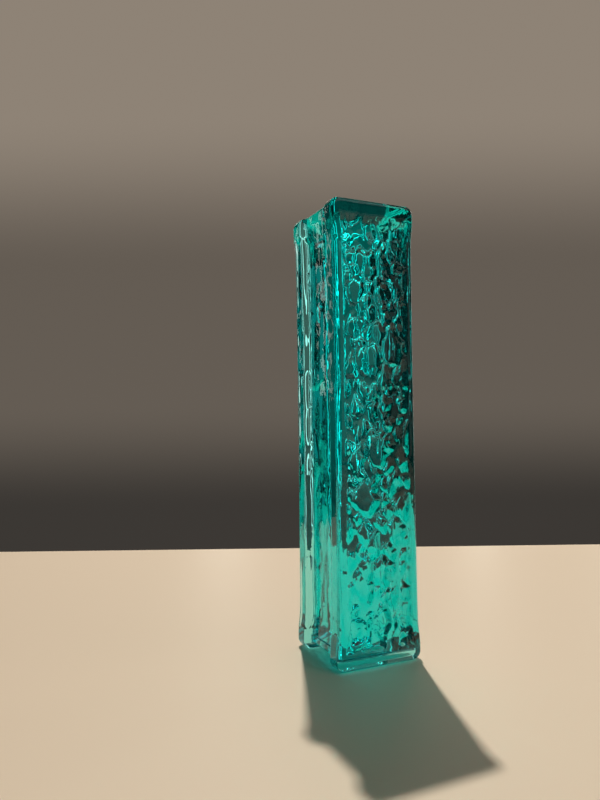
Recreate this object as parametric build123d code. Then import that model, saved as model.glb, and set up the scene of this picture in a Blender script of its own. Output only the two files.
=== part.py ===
from build123d import *
from math import asin, degrees, radians, sin
import os

# Solid glass block, pressed in one piece and standing on its lower end.
# X runs across the face, Y through the thickness and Z up, in millimetres.
# The origin is the middle of the footprint on the surface that it stands on.

# Overall size, measured across the flared corners
HEIGHT = 240.0
FACE_WIDTH = 50.0
THICKNESS = 50.0

# Outline of the faces. Each long edge leaves its corner upright, flares inwards
# over two equal arcs, and runs on over one long arc through the waist
CORNER_RADIUS = 5.0
STRAIGHT_LENGTH = 0.2
FLARE_RADIUS = 53.0
FLARE_SLOPE = 8.6
WAIST_RADIUS = 12000.0

# Round between each face and its narrow sides
FACE_EDGE_RADIUS = 3.0

# Mortar channel between the two flanges: it runs down the left side and across the
# lower end, while the upper end and the right side are plain
FLANGE_THICKNESS = 10.2
SIDE_CHANNEL_DEPTH = 4.8
END_CHANNEL_DEPTH = 4.4
ROOT_RADIUS = 2.0
LIP_RADIUS = 1.8
CORE_CORNER_RADIUS = 1.0

# Collars round the two ends of the core, which stand proud of the side channel's floor
COLLAR_RISE = 0.7
UPPER_COLLAR_HEIGHT = 6.4
LOWER_COLLAR_HEIGHT = 4.2

# How far the cutting shapes reach past the block
CLEARANCE = 10.0


def flare_start():
    """Distance from each end to the flare, beyond every corner and the channel's lip."""
    corners = max(CORNER_RADIUS, END_CHANNEL_DEPTH + max(CORE_CORNER_RADIUS, LIP_RADIUS))
    return corners + STRAIGHT_LENGTH


def side_edge(inset):
    """Flared right-hand edge of a face, moved inwards by an inset."""
    flare_rise = 2 * FLARE_RADIUS * sin(radians(FLARE_SLOPE))
    waist_rise = HEIGHT / 2 - flare_start() - flare_rise
    waist_slope = degrees(asin(waist_rise / (WAIST_RADIUS - FLARE_RADIUS)))
    start = (FACE_WIDTH / 2 - inset, flare_start())
    leaving = JernArc(start, (0, 1), FLARE_RADIUS, FLARE_SLOPE)
    easing = JernArc(leaving @ 1, leaving % 1, FLARE_RADIUS, waist_slope - FLARE_SLOPE)
    waist = JernArc(easing @ 1, easing % 1, WAIST_RADIUS, -2 * waist_slope)
    upside_down = Plane.XZ.offset(-HEIGHT / 2)
    return Curve([leaving, easing, waist, mirror(easing, upside_down), mirror(leaving, upside_down)])


def face_outline():
    """Outline of a face, with its flared long edges and rounded corners."""
    side_x = FACE_WIDTH / 2
    centre_x = side_x - CORNER_RADIUS
    centre_top = HEIGHT - CORNER_RADIUS
    flare_top = HEIGHT - flare_start()
    right_edge = side_edge(0)
    left_edge = mirror(right_edge, Plane.YZ)
    return make_face([
        right_edge.edges(),
        Line((side_x, flare_top), (side_x, centre_top)),
        CenterArc((centre_x, centre_top), CORNER_RADIUS, 0, 90),
        Line((centre_x, HEIGHT), (-centre_x, HEIGHT)),
        CenterArc((-centre_x, centre_top), CORNER_RADIUS, 90, 90),
        Line((-side_x, centre_top), (-side_x, flare_top)),
        left_edge.edges(),
        Line((-side_x, flare_start()), (-side_x, CORNER_RADIUS)),
        CenterArc((-centre_x, CORNER_RADIUS), CORNER_RADIUS, 180, 90),
        Line((-centre_x, 0), (centre_x, 0)),
        CenterArc((centre_x, CORNER_RADIUS), CORNER_RADIUS, 270, 90),
        Line((side_x, CORNER_RADIUS), (side_x, flare_start())),
    ])


def core_outline(proud):
    """Outline of the core, which runs on past the plain upper end and right side.

    Its left edge follows that of the faces. proud is how far this edge stands out
    from the channel's floor, as it does at the collars.
    """
    inset = SIDE_CHANNEL_DEPTH - proud
    left_edge = mirror(side_edge(inset), Plane.YZ)
    left_x = inset - FACE_WIDTH / 2
    right_x = FACE_WIDTH / 2 + CLEARANCE
    head_z = HEIGHT + CLEARANCE
    flare_top = HEIGHT - flare_start()
    foot_z = END_CHANNEL_DEPTH
    core = make_face([
        left_edge.edges(),
        Line((left_x, flare_top), (left_x, head_z)),
        Line((left_x, head_z), (right_x, head_z)),
        Line((right_x, head_z), (right_x, foot_z)),
        Line((right_x, foot_z), (left_x, foot_z)),
        Line((left_x, foot_z), (left_x, flare_start())),
    ])
    lower_left = core.vertices().group_by(Axis.Y)[0].sort_by(Axis.X)[0]
    return fillet(lower_left, CORE_CORNER_RADIUS)


def blank():
    """Block without its channel, with rounded face edges."""
    body = extrude(Plane.XZ * face_outline(), THICKNESS / 2, both=True)
    front_and_back = body.faces().sort_by(Axis.Y)
    edges = front_and_back[0].edges() + front_and_back[-1].edges()
    return fillet(edges, FACE_EDGE_RADIUS)


def channel(proud):
    """Space between the flanges, outside the core, with rounded roots."""
    width = THICKNESS - 2 * FLANGE_THICKNESS
    around = Pos(0, HEIGHT / 2) * Rectangle(FACE_WIDTH + 2 * CLEARANCE, HEIGHT + 2 * CLEARANCE)
    space = extrude(Plane.XZ * (around - core_outline(proud)), width / 2, both=True)
    flanks = space.faces().sort_by(Axis.Y)
    edges = flanks[0].edges() + flanks[-1].edges()
    roots = edges.filter_by_position(Axis.X, -FACE_WIDTH / 2, FACE_WIDTH / 2)
    roots = roots.filter_by_position(Axis.Z, 0, HEIGHT + CLEARANCE)
    return fillet(roots, ROOT_RADIUS)


def collared_channel():
    """Channel whose floor steps out at the collars: its middle, and its two ends."""
    lower_z = END_CHANNEL_DEPTH + LOWER_COLLAR_HEIGHT
    upper_z = HEIGHT - UPPER_COLLAR_HEIGHT
    reach = FACE_WIDTH + THICKNESS + CLEARANCE
    between = Pos(0, 0, (lower_z + upper_z) / 2) * Box(reach, reach, upper_z - lower_z)
    return channel(0) & between, channel(COLLAR_RISE) - between


def pressed_block():
    """Finished block: the blank with its channel cut and the channel's mouth rounded."""
    body = blank()
    middle, ends = collared_channel()
    space = middle + ends
    cut = body - space
    mouth = new_edges(body, space, combined=cut)
    return fillet(mouth, LIP_RADIUS)


glass_block = pressed_block()

os.makedirs("parts", exist_ok=True)
export_step(glass_block, "parts/glass_block.step")
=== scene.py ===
import math

import bmesh
import bpy
import numpy as np
from mathutils import Matrix, Vector
from mathutils.geometry import delaunay_2d_cdt


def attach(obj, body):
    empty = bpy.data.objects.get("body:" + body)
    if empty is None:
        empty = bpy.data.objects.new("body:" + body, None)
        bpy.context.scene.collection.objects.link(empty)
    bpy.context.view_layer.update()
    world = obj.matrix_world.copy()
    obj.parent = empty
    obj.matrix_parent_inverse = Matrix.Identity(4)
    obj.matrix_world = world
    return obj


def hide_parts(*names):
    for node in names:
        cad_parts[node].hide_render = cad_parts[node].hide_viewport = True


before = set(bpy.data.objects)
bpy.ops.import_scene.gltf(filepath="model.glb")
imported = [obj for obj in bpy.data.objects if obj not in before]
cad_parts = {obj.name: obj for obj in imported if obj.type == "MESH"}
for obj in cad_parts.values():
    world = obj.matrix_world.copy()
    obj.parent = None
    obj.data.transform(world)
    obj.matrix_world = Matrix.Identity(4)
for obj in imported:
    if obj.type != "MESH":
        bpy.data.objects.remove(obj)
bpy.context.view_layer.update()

# Sizes of the block, in metres, as in the solid
HEIGHT = 0.24
HALF_WIDTH = 0.025
HALF_THICKNESS = 0.025
CORNER_RADIUS = 0.005
FLARE_START = 0.0064
FLARE_RADIUS = 0.053
FLARE_SLOPE = math.radians(8.6)
WAIST_RADIUS = 12.0
FACE_EDGE_RADIUS = 0.003
CHANNEL_HALF_WIDTH = 0.0148
SIDE_CHANNEL_DEPTH = 0.0048
END_CHANNEL_DEPTH = 0.0044
ROOT_RADIUS = 0.002
LIP_RADIUS = 0.0018
CORE_CORNER_RADIUS = 0.001
COLLAR_RISE = 0.0007
UPPER_COLLAR_HEIGHT = 0.0064
LOWER_COLLAR_HEIGHT = 0.0042
COLLAR_SLOPE_HEIGHT = 0.0006

# Spacing of the mesh
FACE_SPACING = 0.00052
LENGTH_SPACING = 0.0025
COLLAR_SPACING = 0.0003
ACROSS_SPACING = 0.0025
CORNER_STEPS = 14
ROUND_STEPS = 6
WALL_STEPS = 2

# Low swell of the edges, the ends and the channel
SWELL_DEPTH = 0.00012
SWELL_FADE = 0.003
SWELL_SIZE = (3.1, 3.4, 15)
SMALL_SWELL_SIZE = (1.4, 1.5, 6)


class Noise:
    """Seeded smooth noise of three coordinates, about -1 to 1."""

    def __init__(self, seed):
        rng = np.random.default_rng(seed)
        self.order = np.tile(rng.permutation(256), 3)
        slopes = rng.normal(size=(256, 3))
        self.slopes = slopes / np.linalg.norm(slopes, axis=1)[:, None]

    def __call__(self, x, y, z=0.0):
        p = np.stack(np.broadcast_arrays(x, y, z), axis=-1).astype(float)
        low = np.floor(p).astype(int)
        part = p - low
        ease = part * part * part * (part * (part * 6 - 15) + 10)
        total = np.zeros(p.shape[:-1])
        for i in (0, 1):
            for j in (0, 1):
                for k in (0, 1):
                    step = np.array((i, j, k))
                    corner = (low + step) % 256
                    pick = self.order[corner[..., 0]] + corner[..., 1]
                    pick = self.order[pick] + corner[..., 2]
                    slope = self.slopes[self.order[pick]]
                    weight = np.where(step, ease, 1 - ease).prod(axis=-1)
                    total += weight * ((part - step) * slope).sum(axis=-1)
        return total * 1.6


def dents(u, v, seed, bowl, tilt, lift):
    """Field of dents about 1 apart that meet in creases: the lowest of many tilted bowls."""
    rng = np.random.default_rng(seed)
    side = 64
    jitter = rng.uniform(0.05, 0.95, size=(side, side, 2))
    slope = rng.normal(0, tilt, size=(side, side, 2))
    level = rng.uniform(0, lift, size=(side, side))
    deep = rng.uniform(0.6, 1.5, size=(side, side)) * bowl
    column = np.floor(u).astype(int)
    row = np.floor(v).astype(int)
    lowest = np.full(u.shape, 1e9)
    for i in (-2, -1, 0, 1, 2):
        for j in (-2, -1, 0, 1, 2):
            a = (column + i) % side
            b = (row + j) % side
            du = u - (column + i) - jitter[a, b, 0]
            dv = v - (row + j) - jitter[a, b, 1]
            height = level[a, b] + slope[a, b, 0] * du + slope[a, b, 1] * dv
            height += deep[a, b] * (du * du + dv * dv)
            lowest = np.minimum(lowest, height)
    return lowest


def side_x(z):
    """Half the width of a face at a height, through its straight ends, flares and waist."""
    end = np.minimum(z, HEIGHT - z)
    rise = FLARE_RADIUS * math.sin(FLARE_SLOPE)
    drop = FLARE_RADIUS * (1 - math.cos(FLARE_SLOPE))
    waist_rise = HEIGHT / 2 - FLARE_START - 2 * rise
    waist_slope = math.asin(waist_rise / (WAIST_RADIUS - FLARE_RADIUS))
    along = end - FLARE_START
    leaving = FLARE_RADIUS - np.sqrt(np.maximum(FLARE_RADIUS**2 - np.clip(along, 0, rise) ** 2, 0))
    back = np.clip(2 * rise - along, FLARE_RADIUS * math.sin(waist_slope), rise)
    easing = 2 * drop - (FLARE_RADIUS - np.sqrt(FLARE_RADIUS**2 - back**2))
    middle = HEIGHT / 2 - end
    start = WAIST_RADIUS * math.sin(waist_slope)
    sag = np.sqrt(WAIST_RADIUS**2 - np.minimum(middle, start) ** 2) - math.sqrt(WAIST_RADIUS**2 - start**2)
    inset = np.where(along < rise, leaving, easing)
    return HALF_WIDTH - inset - np.where(middle < start, sag, 0)


def rounded(a, b, radius):
    """Field of what is inside both of two fields, with their edge rounded."""
    near = np.hypot(np.maximum(a + radius, 0), np.maximum(b + radius, 0))
    return np.minimum(np.maximum(a, b), -radius) + near


def filled(a, b, radius):
    """Field of what is inside either of two fields, with a fillet between them."""
    near = np.hypot(np.maximum(radius - a, 0), np.maximum(radius - b, 0))
    return np.maximum(np.minimum(a, b), radius) - near


def collar(z):
    """How far the core's sides stand out from the channel's floor at a height."""
    upper = np.clip((z - HEIGHT + UPPER_COLLAR_HEIGHT) / COLLAR_SLOPE_HEIGHT + 0.5, 0, 1)
    lower = np.clip((END_CHANNEL_DEPTH + LOWER_COLLAR_HEIGHT - z) / COLLAR_SLOPE_HEIGHT + 0.5, 0, 1)
    step = np.maximum(upper, lower)
    return COLLAR_RISE * step * step * (3 - 2 * step)


def ease(t):
    t = np.clip(t, 0, 1)
    return t * t * (3 - 2 * t)


swell_noise = Noise(5)


def outside(p):
    """Distance outside the block without its ripple, about, at each point; negative inside it."""
    x, y, z = np.abs(p[:, 0]), np.abs(p[:, 1]), p[:, 2]
    edge = side_x(z)
    lean = (side_x(z + 1e-5) - side_x(z - 1e-5)) / 2e-5
    square = 1 / np.sqrt(1 + lean * lean)
    side = (x - edge) * square
    ends = np.maximum(-z, z - HEIGHT)
    outline = rounded(side, ends, CORNER_RADIUS)
    blank = rounded(outline, y - HALF_THICKNESS, FACE_EDGE_RADIUS)
    core_side = (-p[:, 0] - edge + SIDE_CHANNEL_DEPTH - collar(z)) * square
    core = rounded(core_side, END_CHANNEL_DEPTH - z, CORE_CORNER_RADIUS)
    body = filled(core, CHANNEL_HALF_WIDTH - y, ROOT_RADIUS)
    mm = p.T * 1000
    a, b, c = SWELL_SIZE
    swell = swell_noise(mm[0] / a, mm[1] / b, mm[2] / c)
    a, b, c = SMALL_SWELL_SIZE
    swell += 0.5 * swell_noise(mm[0] / a, mm[1] / b, mm[2] / c + 40)
    kept = ease((HALF_THICKNESS - y) / SWELL_FADE) * ease(np.minimum(z, HEIGHT - z) / SWELL_FADE)
    return rounded(blank, body, LIP_RADIUS) + SWELL_DEPTH * kept * np.clip(0.5 + 0.5 * swell, 0, 1)


def gradient(p):
    """Direction away from that block at each point."""
    step = 2e-6
    parts = []
    for axis in np.eye(3):
        parts.append(outside(p + axis * step) - outside(p - axis * step))
    slope = np.stack(parts, axis=1)
    return slope / np.maximum(np.linalg.norm(slope, axis=1), 1e-12)[:, None]


# Relief of the two faces: deep in front, lower and wider behind
FRONT_SEED = 11
BACK_SEED = 47
FRONT_DEPTH = 0.0027
BACK_DEPTH = 0.0013
BACK_STRETCH = 2.5
BORDER_SIDE = 0.0042
BORDER_TOP = 0.0075
BORDER_BOTTOM = 0.0085
FADE = 0.0022
FADE_TOP = 0.0055

# Size of the ripple's dents across and up, in millimetres, and how much each sort counts
LARGE_DENT = (5.2, 8.0)
SMALL_DENT = (2.7, 4.2)
LARGE_SHARE = 0.85
SMALL_SHARE = 0.18

# How sharply the ripple steps from its low flats to its high ones, and at what level
STEP_SHARPNESS = 4.2
STEP_LEVEL = 0.45


def relief(x, z, seed, stretch):
    """Depth of the ripple at each point of a face, from 0 at the border's level to 1."""
    u, v = x * 1000 / stretch, z * 1000 / stretch
    bend = Noise(seed)
    swirl_u = u + 1.6 * bend(u / 6, v / 9) + 0.5 * bend(u / 2.4, v / 3.6, 5.5)
    swirl_v = v + 2.8 * bend(u / 6, v / 9, 9.5) + 0.8 * bend(u / 2.4, v / 3.6, 14.5)
    large = dents(swirl_u / LARGE_DENT[0], swirl_v / LARGE_DENT[1], seed + 1, 1.7, 0.9, 0.9)
    small = dents(swirl_u / SMALL_DENT[0], swirl_v / SMALL_DENT[1], seed + 2, 1.3, 0.7, 0.6)
    height = LARGE_SHARE * large + SMALL_SHARE * small
    low, high = np.percentile(height, (3, 97))
    level = (height - low) / (high - low)
    return 0.5 - 0.5 * np.tanh(STEP_SHARPNESS * (level - STEP_LEVEL))


def face_mask(x, z):
    """Where the ripple shows: 0 on the smooth border of a face and 1 inside it."""
    side = (side_x(z) - np.abs(x) - BORDER_SIDE) / FADE
    top = (HEIGHT - z - BORDER_TOP) / FADE_TOP
    bottom = (z - BORDER_BOTTOM) / FADE
    t = np.clip(np.minimum(side, np.minimum(top, bottom)), 0, 1)
    return t * t * (3 - 2 * t)


def evenly(points, count):
    """Points spaced evenly along a line of many points."""
    points = np.array(points)
    steps = np.linalg.norm(np.diff(points, axis=0), axis=1)
    along = np.concatenate(([0], np.cumsum(steps)))
    wanted = np.linspace(0, along[-1], count + 1)
    return np.stack([np.interp(wanted, along, points[:, k]) for k in (0, 1)], axis=1)


def arc(centre, radius, first, last):
    turns = np.radians(np.linspace(first, last, 40))
    return [(centre[0] + radius * math.cos(t), centre[1] + radius * math.sin(t)) for t in turns]


def half_outline(channelled):
    """Outer and inner outline of a half, from the middle of the top to that of the lower end."""
    core_x = HALF_WIDTH - SIDE_CHANNEL_DEPTH + COLLAR_RISE
    corner_x = HALF_WIDTH - CORNER_RADIUS
    flat_x = core_x - LIP_RADIUS if channelled else corner_x
    low_x = corner_x - 2 * CORE_CORNER_RADIUS
    mouth_z = END_CHANNEL_DEPTH + LIP_RADIUS
    run = np.arange(0, flat_x - ACROSS_SPACING / 2, ACROSS_SPACING)
    top = np.stack((run, np.full(run.shape, HEIGHT)), axis=1)
    bend = [(flat_x, HEIGHT), *arc((corner_x, HEIGHT - CORNER_RADIUS), CORNER_RADIUS, 90, 0)]
    upper = evenly(bend + [(HALF_WIDTH, HEIGHT - FLARE_START)], CORNER_STEPS)
    bend = arc((flat_x, HEIGHT - LIP_RADIUS), LIP_RADIUS, 90, 0)
    core_upper = evenly(bend + [(core_x, HEIGHT - FLARE_START)], CORNER_STEPS)
    z = np.arange(FLARE_START + LENGTH_SPACING, HEIGHT - FLARE_START, LENGTH_SPACING)
    for centre in (HEIGHT - UPPER_COLLAR_HEIGHT, END_CHANNEL_DEPTH + LOWER_COLLAR_HEIGHT):
        near = centre + COLLAR_SPACING * np.arange(-2, 3)
        z = z[np.abs(z - centre) > 3 * COLLAR_SPACING]
        z = np.append(z, near[(near > FLARE_START) & (near < HEIGHT - FLARE_START)])
    z = np.sort(z)[::-1]
    side = np.stack((side_x(z), z), axis=1)
    core_side = np.stack((side_x(z) - SIDE_CHANNEL_DEPTH + collar(z), z), axis=1)
    lower_start = FLARE_START if channelled else mouth_z
    bend = [(HALF_WIDTH, lower_start), *arc((corner_x, CORNER_RADIUS), CORNER_RADIUS, 0, -90)]
    lower = evenly(bend + [(low_x, 0)], CORNER_STEPS)
    if channelled:
        round_x = core_x - CORE_CORNER_RADIUS
        bend = arc((round_x, END_CHANNEL_DEPTH + CORE_CORNER_RADIUS), CORE_CORNER_RADIUS, 0, -90)
        bend = [(core_x, FLARE_START)] + bend
    else:
        bend = arc((HALF_WIDTH - LIP_RADIUS, mouth_z), LIP_RADIUS, 0, -90)
    core_lower = evenly(bend + [(low_x, END_CHANNEL_DEPTH)], CORNER_STEPS)
    x = np.append(np.arange(low_x - ACROSS_SPACING, ACROSS_SPACING / 2, -ACROSS_SPACING), 0)
    foot = np.stack((x, np.zeros(x.shape)), axis=1)
    core_foot = np.stack((x, np.full(x.shape, END_CHANNEL_DEPTH)), axis=1)
    outer = np.concatenate((top, upper, side, lower, foot))
    if not channelled:
        core_upper, core_side = upper, side
    return outer, np.concatenate((top, core_upper, core_side, core_lower, core_foot))


def skin_points():
    """Grid of points over all but the two flat faces: round the outline, and from front to back."""
    outer, inner = half_outline(False)
    left_outer, left_inner = half_outline(True)
    flip = np.array((-1, 1))
    outer = np.concatenate((outer, left_outer[-2:0:-1] * flip))
    inner = np.concatenate((inner, left_inner[-2:0:-1] * flip))
    forward = np.roll(outer, -1, axis=0) - np.roll(outer, 1, axis=0)
    inward = np.stack((forward[:, 1], -forward[:, 0]), axis=1)
    inward /= np.linalg.norm(inward, axis=1)[:, None]
    inward *= np.sign((inward * (np.array((0, HEIGHT / 2)) - outer)).sum(axis=1))[:, None]
    depth = np.linalg.norm(inner - outer, axis=1)
    share = ease(depth / SIDE_CHANNEL_DEPTH)
    rows = []
    for turn in np.linspace(0, math.pi / 2, ROUND_STEPS + 1):
        inset = FACE_EDGE_RADIUS * (1 - math.sin(turn))
        y = HALF_THICKNESS - FACE_EDGE_RADIUS * (1 - math.cos(turn))
        rows.append((outer + inward * inset, np.full(len(outer), y)))
    side_y = HALF_THICKNESS - FACE_EDGE_RADIUS
    lip_y = CHANNEL_HALF_WIDTH + LIP_RADIUS
    root_y = CHANNEL_HALF_WIDTH - ROOT_RADIUS
    rows.append((outer, np.full(len(outer), (side_y + lip_y) / 2)))
    lip, root = LIP_RADIUS / SIDE_CHANNEL_DEPTH, ROOT_RADIUS / SIDE_CHANNEL_DEPTH
    turns = np.linspace(0, math.pi / 2, ROUND_STEPS)
    profile = [(lip * (1 - math.cos(t)), lip_y - LIP_RADIUS * math.sin(t)) for t in turns]
    profile += [(s, CHANNEL_HALF_WIDTH) for s in np.linspace(lip, 1 - root, WALL_STEPS + 2)[1:-1]]
    profile += [(1 - root * (1 - math.sin(t)), root_y + ROOT_RADIUS * math.cos(t)) for t in turns]
    for n, (part, y) in enumerate(profile):
        even = lip_y + (root_y - lip_y) * n / (len(profile) - 1)
        rows.append((outer + (inner - outer) * part, even + (y - even) * share))
    for y in np.arange(root_y - ACROSS_SPACING, ACROSS_SPACING / 2, -ACROSS_SPACING):
        rows.append((inner, np.full(len(outer), y)))
    back = [np.stack((flat[:, 0], y, flat[:, 1]), axis=1) for flat, y in rows]
    middle = np.stack((inner[:, 0], np.zeros(len(inner)), inner[:, 1]), axis=1)
    front = [row * np.array((1, -1, 1)) for row in back]
    grid = np.stack(front + [middle] + back[::-1])
    flat = grid.reshape(-1, 3)
    for _ in range(8):
        flat = flat - gradient(flat) * outside(flat)[:, None]
    return flat.reshape(grid.shape)


def fill_face(rim):
    """Fine, even triangles inside a flat face's rim: new points, and faces that number the rim first."""
    count = len(rim)
    rim_edges = [(n, (n + 1) % count) for n in range(count)]
    points = [Vector((x, z)) for x, z in rim[:, (0, 2)]]
    rows = np.arange(FACE_EDGE_RADIUS, HEIGHT - FACE_EDGE_RADIUS, FACE_SPACING * 0.866)
    for n, level in enumerate(rows):
        x = np.arange(-HALF_WIDTH, HALF_WIDTH, FACE_SPACING) + (n % 2) * FACE_SPACING / 2
        z = np.full(x.shape, level)
        inside = rounded(np.abs(x) - side_x(z), np.maximum(-z, z - HEIGHT), CORNER_RADIUS)
        points += [Vector((a, level)) for a in x[inside < -FACE_EDGE_RADIUS - FACE_SPACING * 0.6]]
    made, _, faces, origin, _, _ = delaunay_2d_cdt(points, rim_edges, [], 1, 1e-7)
    number, inner = [], []
    for point, source in zip(made, origin):
        known = [s for s in source if s < count]
        if not known:
            inner.append(point)
        number.append(known[0] if known else count + len(inner) - 1)
    return np.array(inner), [[number[n] for n in face] for face in faces]


def make_block():
    grid = skin_points()
    rows, count = grid.shape[:2]
    points = [grid.reshape(-1, 3)]
    faces = []
    for row in range(rows - 1):
        for n in range(count):
            m = (n + 1) % count
            faces.append((row * count + n, row * count + m, (row + 1) * count + m, (row + 1) * count + n))
    total = rows * count
    front = (0, -1, FRONT_SEED, FRONT_DEPTH, 1.0)
    back = (rows - 1, 1, BACK_SEED, BACK_DEPTH, BACK_STRETCH)
    for rim_row, sign, seed, depth, stretch in (front, back):
        inner, triangles = fill_face(grid[rim_row])
        x, z = inner[:, 0], inner[:, 1]
        y = sign * (HALF_THICKNESS - depth * face_mask(x, z) * relief(x, z, seed, stretch))
        points.append(np.stack((x, y, z), axis=1))
        shift = [rim_row * count, total - count]
        faces += [[n + shift[n >= count] for n in face] for face in triangles]
        total += len(inner)
    points = np.concatenate(points)
    mesh = bpy.data.meshes.new("glass_block_rippled")
    mesh.from_pydata(points.tolist(), [], faces)
    bm = bmesh.new()
    bm.from_mesh(mesh)
    bmesh.ops.recalc_face_normals(bm, faces=bm.faces[:])
    bm.to_mesh(mesh)
    bm.free()
    for polygon in mesh.polygons:
        polygon.use_smooth = True
    normals = np.zeros(len(mesh.vertices) * 3)
    mesh.vertices.foreach_get("normal", normals)
    normals = normals.reshape(-1, 3)
    normals[: rows * count] = gradient(points[: rows * count])
    mesh.normals_split_custom_set_from_vertices(normals)
    block = bpy.data.objects.new("glass_block_rippled", mesh)
    bpy.context.scene.collection.objects.link(block)
    print("block", sum(len(p.vertices) - 2 for p in mesh.polygons), "triangles")
    return block


# Glass: it absorbs, per metre, its density times what its colour lacks of white. Its bump is very fine
GLASS_IOR = 1.52
GLASS_COLOUR = (0.0, 0.975, 0.9785)
GLASS_DENSITY = 110.0
GRAIN_SCALE = 420.0
GRAIN_STRENGTH = 0.22
GRAIN_DEPTH = 0.00012


def glass():
    m = bpy.data.materials.new("teal_glass")
    m.use_nodes = True
    nodes, links = m.node_tree.nodes, m.node_tree.links
    shader = nodes["Principled BSDF"]
    shader.inputs["Base Color"].default_value = (1, 1, 1, 1)
    shader.inputs["Roughness"].default_value = 0.0
    shader.inputs["IOR"].default_value = GLASS_IOR
    shader.inputs["Transmission Weight"].default_value = 1.0
    absorb = nodes.new("ShaderNodeVolumeAbsorption")
    absorb.inputs["Color"].default_value = (*GLASS_COLOUR, 1)
    absorb.inputs["Density"].default_value = GLASS_DENSITY
    links.new(absorb.outputs["Volume"], nodes["Material Output"].inputs["Volume"])
    place = nodes.new("ShaderNodeTexCoord")
    grain = nodes.new("ShaderNodeTexNoise")
    grain.inputs["Scale"].default_value = GRAIN_SCALE
    grain.inputs["Detail"].default_value = 1.0
    bump = nodes.new("ShaderNodeBump")
    bump.inputs["Strength"].default_value = GRAIN_STRENGTH
    bump.inputs["Distance"].default_value = GRAIN_DEPTH
    links.new(place.outputs["Object"], grain.inputs["Vector"])
    links.new(grain.outputs["Fac"], bump.inputs["Height"])
    links.new(bump.outputs["Normal"], shader.inputs["Normal"])
    return m


def plain(name, colour, roughness=0.6):
    m = bpy.data.materials.new(name)
    m.use_nodes = True
    shader = m.node_tree.nodes["Principled BSDF"]
    shader.inputs["Base Color"].default_value = (*colour, 1)
    shader.inputs["Roughness"].default_value = roughness
    return m


def linked(name, data):
    obj = bpy.data.objects.new(name, data)
    bpy.context.scene.collection.objects.link(obj)
    return obj


# Camera, worked out from the outline of the block in the photograph
CAMERA_PLACE = (-0.17309, -0.31205, 0.12370)
CAMERA_YAW = 0.4235
CAMERA_PITCH = 0.0379
CAMERA_ROLL = -0.0127
FOCAL_PIXELS = 646.6
FRAME_HEIGHT = 800


# Table top that ends a little way behind the block, and the wall beyond it, which glows with painted
# light, darker low down and lighter high up.
# Both are square to the camera, whose heading is the stage's own Y
TABLE_COLOUR = (0.88, 0.71, 0.53)
TABLE_FAR = 0.30
TABLE_REACH = 1.5
TABLE_THICKNESS = 0.03
TABLE_ROUND = 0.003
WALL_FAR = 4.0
WALL_HALF = 2.15
WALL_FOOT = -3.0
WALL_HEAD = 3.14
WALL_DARK = -1.6
WALL_LIGHT = 2.9
WALL_LOW_AT = 0.26
WALL_MIDDLE_AT = (0.42, 0.62)
WALL_HIGH_AT = 0.86
# Painted light: how brightly the wall glows low down, in the middle and high up
WALL_LOW = (0.042, 0.037, 0.032)
WALL_MIDDLE = (0.125, 0.105, 0.085)
WALL_HIGH = (0.27, 0.225, 0.18)
ROOM_COLOUR = (0.010, 0.009, 0.008)

# Lamp colours
WARM = (1, 0.98, 0.86)
PALE = (1, 0.97, 0.92)

# Key lamp: its heading from +Y towards +X and its height, in degrees, seen from the block
KEY_HEADING = 21.1
KEY_HEIGHT = 67.0
KEY_FAR = 2.6
KEY_SIZE = 0.06
KEY_POWER = 53.0


def lamp(name, heading, height, far, size, power, colour):
    """Area lamp that faces the block, from a heading and a height in degrees and a distance."""
    data = bpy.data.lights.new(name, "AREA")
    data.shape = "RECTANGLE"
    data.size, data.size_y = size
    data.energy = power
    data.color = colour
    obj = linked(name, data)
    turn, rise = math.radians(heading), math.radians(height)
    away = Vector((math.sin(turn) * math.cos(rise), math.cos(turn) * math.cos(rise), math.sin(rise)))
    obj.location = away * far + Vector((0, 0, HEIGHT / 2))
    obj.rotation_euler = (-away).to_track_quat("-Z", "Y").to_euler()
    obj.visible_camera = False
    return obj


def table_top():
    mesh = bpy.data.meshes.new("table")
    bm = bmesh.new()
    bmesh.ops.create_cube(bm, size=1)
    bmesh.ops.scale(bm, vec=(2 * TABLE_REACH, TABLE_REACH + TABLE_FAR, TABLE_THICKNESS), verts=bm.verts)
    shift = (0, (TABLE_FAR - TABLE_REACH) / 2, -TABLE_THICKNESS / 2)
    bmesh.ops.translate(bm, vec=shift, verts=bm.verts)
    bmesh.ops.bevel(bm, geom=bm.edges[:], offset=TABLE_ROUND, segments=4, affect="EDGES", profile=0.5)
    bm.to_mesh(mesh)
    bm.free()
    mesh.materials.append(plain("table_cream", TABLE_COLOUR, 0.45))
    obj = linked("table", mesh)
    obj.rotation_euler = (0, 0, -CAMERA_YAW)


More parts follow.
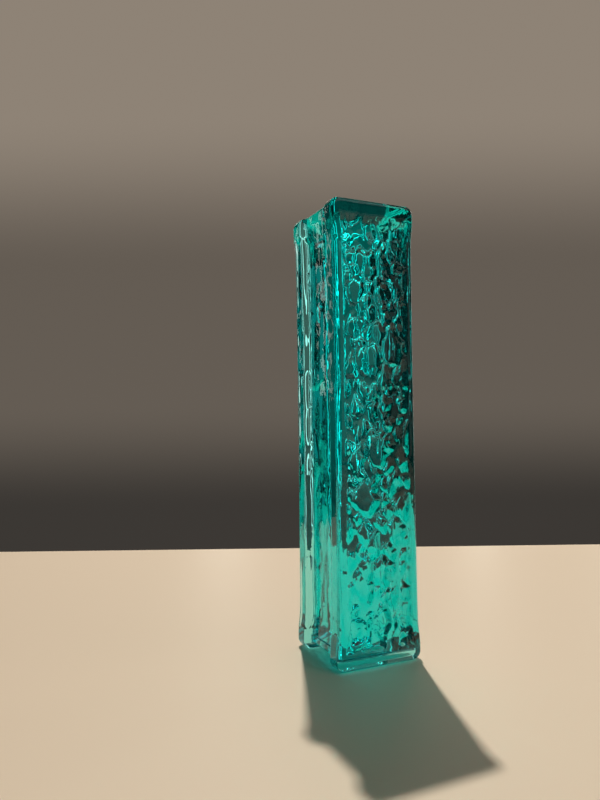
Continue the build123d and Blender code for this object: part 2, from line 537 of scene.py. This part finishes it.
def wall():
    mesh = bpy.data.meshes.new("wall")
    foot = [(-WALL_HALF, WALL_FAR, WALL_FOOT), (WALL_HALF, WALL_FAR, WALL_FOOT)]
    head = [(WALL_HALF, WALL_FAR, WALL_HEAD), (-WALL_HALF, WALL_FAR, WALL_HEAD)]
    mesh.from_pydata(foot + head, [], [(0, 1, 2, 3)])
    # Painted light: the wall is nearly black itself and glows by emission, from dark low down to lighter
    # high up, in place of room light falling on it
    m = bpy.data.materials.new("wall_painted_glow")
    m.use_nodes = True
    nodes, links = m.node_tree.nodes, m.node_tree.links
    shader = nodes["Principled BSDF"]
    shader.inputs["Base Color"].default_value = (0.02, 0.02, 0.02, 1)
    shader.inputs["Roughness"].default_value = 0.9
    place = nodes.new("ShaderNodeTexCoord")
    split = nodes.new("ShaderNodeSeparateXYZ")
    ramp = nodes.new("ShaderNodeValToRGB")
    scale = nodes.new("ShaderNodeMapRange")
    scale.inputs["From Min"].default_value = WALL_DARK
    scale.inputs["From Max"].default_value = WALL_LIGHT
    links.new(place.outputs["Object"], split.inputs[0])
    links.new(split.outputs["Z"], scale.inputs["Value"])
    links.new(scale.outputs["Result"], ramp.inputs["Fac"])
    ramp.color_ramp.interpolation = "EASE"
    stops = ramp.color_ramp.elements
    stops[0].position, stops[0].color = WALL_LOW_AT, (*WALL_LOW, 1)
    stops[1].position, stops[1].color = WALL_HIGH_AT, (*WALL_HIGH, 1)
    for position in WALL_MIDDLE_AT:
        stops.new(position).color = (*WALL_MIDDLE, 1)
    links.new(ramp.outputs["Color"], shader.inputs["Emission Color"])
    shader.inputs["Emission Strength"].default_value = 1.0
    mesh.materials.append(m)
    obj = linked("wall", mesh)
    obj.rotation_euler = (0, 0, -CAMERA_YAW)


def stage():
    table_top()
    wall()
    lamp("key", KEY_HEADING, KEY_HEIGHT, KEY_FAR, (KEY_SIZE, KEY_SIZE), KEY_POWER, PALE)
    lamp("strip_1", 43, 8, 1.1, (0.04, 0.9), 0.25, WARM)
    lamp("strip_2", 14, 12, 1.1, (0.1, 0.7), 0.25, WARM)
    lamp("strip_3", 60, 10, 1.1, (0.12, 0.9), 0.4, WARM)
    lamp("strip_4", 80, 15, 1.1, (0.2, 0.8), 0.5, WARM)
    lamp("strip_5", 30, 31, 1.1, (0.8, 0.03), 0.2, WARM)
    lamp("strip_6", 30, 52, 1.2, (0.8, 0.08), 0.25, WARM)
    lamp("strip_7", -28, 16, 1.1, (0.03, 0.5), 0.055, WARM)
    lamp("front_card", 150, 8, 1.5, (1.0, 0.6), 0.45, WARM)
    lamp("ceiling_card", 150, 52, 1.5, (1.4, 1.0), 2.3, PALE)
    world = bpy.data.worlds.new("room")
    world.use_nodes = True
    background = world.node_tree.nodes["Background"]
    background.inputs["Color"].default_value = (*ROOM_COLOUR, 1)
    background.inputs["Strength"].default_value = 1.0
    bpy.context.scene.world = world


def make_camera():
    flat = Vector((math.sin(CAMERA_YAW), math.cos(CAMERA_YAW), 0))
    level = Vector((math.cos(CAMERA_YAW), -math.sin(CAMERA_YAW), 0))
    forward = math.cos(CAMERA_PITCH) * flat + Vector((0, 0, math.sin(CAMERA_PITCH)))
    over = -math.sin(CAMERA_PITCH) * flat + Vector((0, 0, math.cos(CAMERA_PITCH)))
    right = math.cos(CAMERA_ROLL) * level + math.sin(CAMERA_ROLL) * over
    up = math.cos(CAMERA_ROLL) * over - math.sin(CAMERA_ROLL) * level
    data = bpy.data.cameras.new("camera")
    data.sensor_width = 36
    data.lens = FOCAL_PIXELS / FRAME_HEIGHT * 36
    data.clip_start = 0.01
    obj = bpy.data.objects.new("camera", data)
    turn = Matrix((right, up, -forward)).transposed().to_4x4()
    obj.matrix_world = Matrix.Translation(CAMERA_PLACE) @ turn
    bpy.context.scene.collection.objects.link(obj)
    bpy.context.scene.camera = obj


make_camera()
stage()
block = make_block()
block.data.materials.append(glass())
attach(block, "root")
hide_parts("glass_block")

scene = bpy.context.scene
scene.view_settings.view_transform = "Standard"
scene.cycles.max_bounces = 24
scene.cycles.transmission_bounces = 24
scene.cycles.glossy_bounces = 16
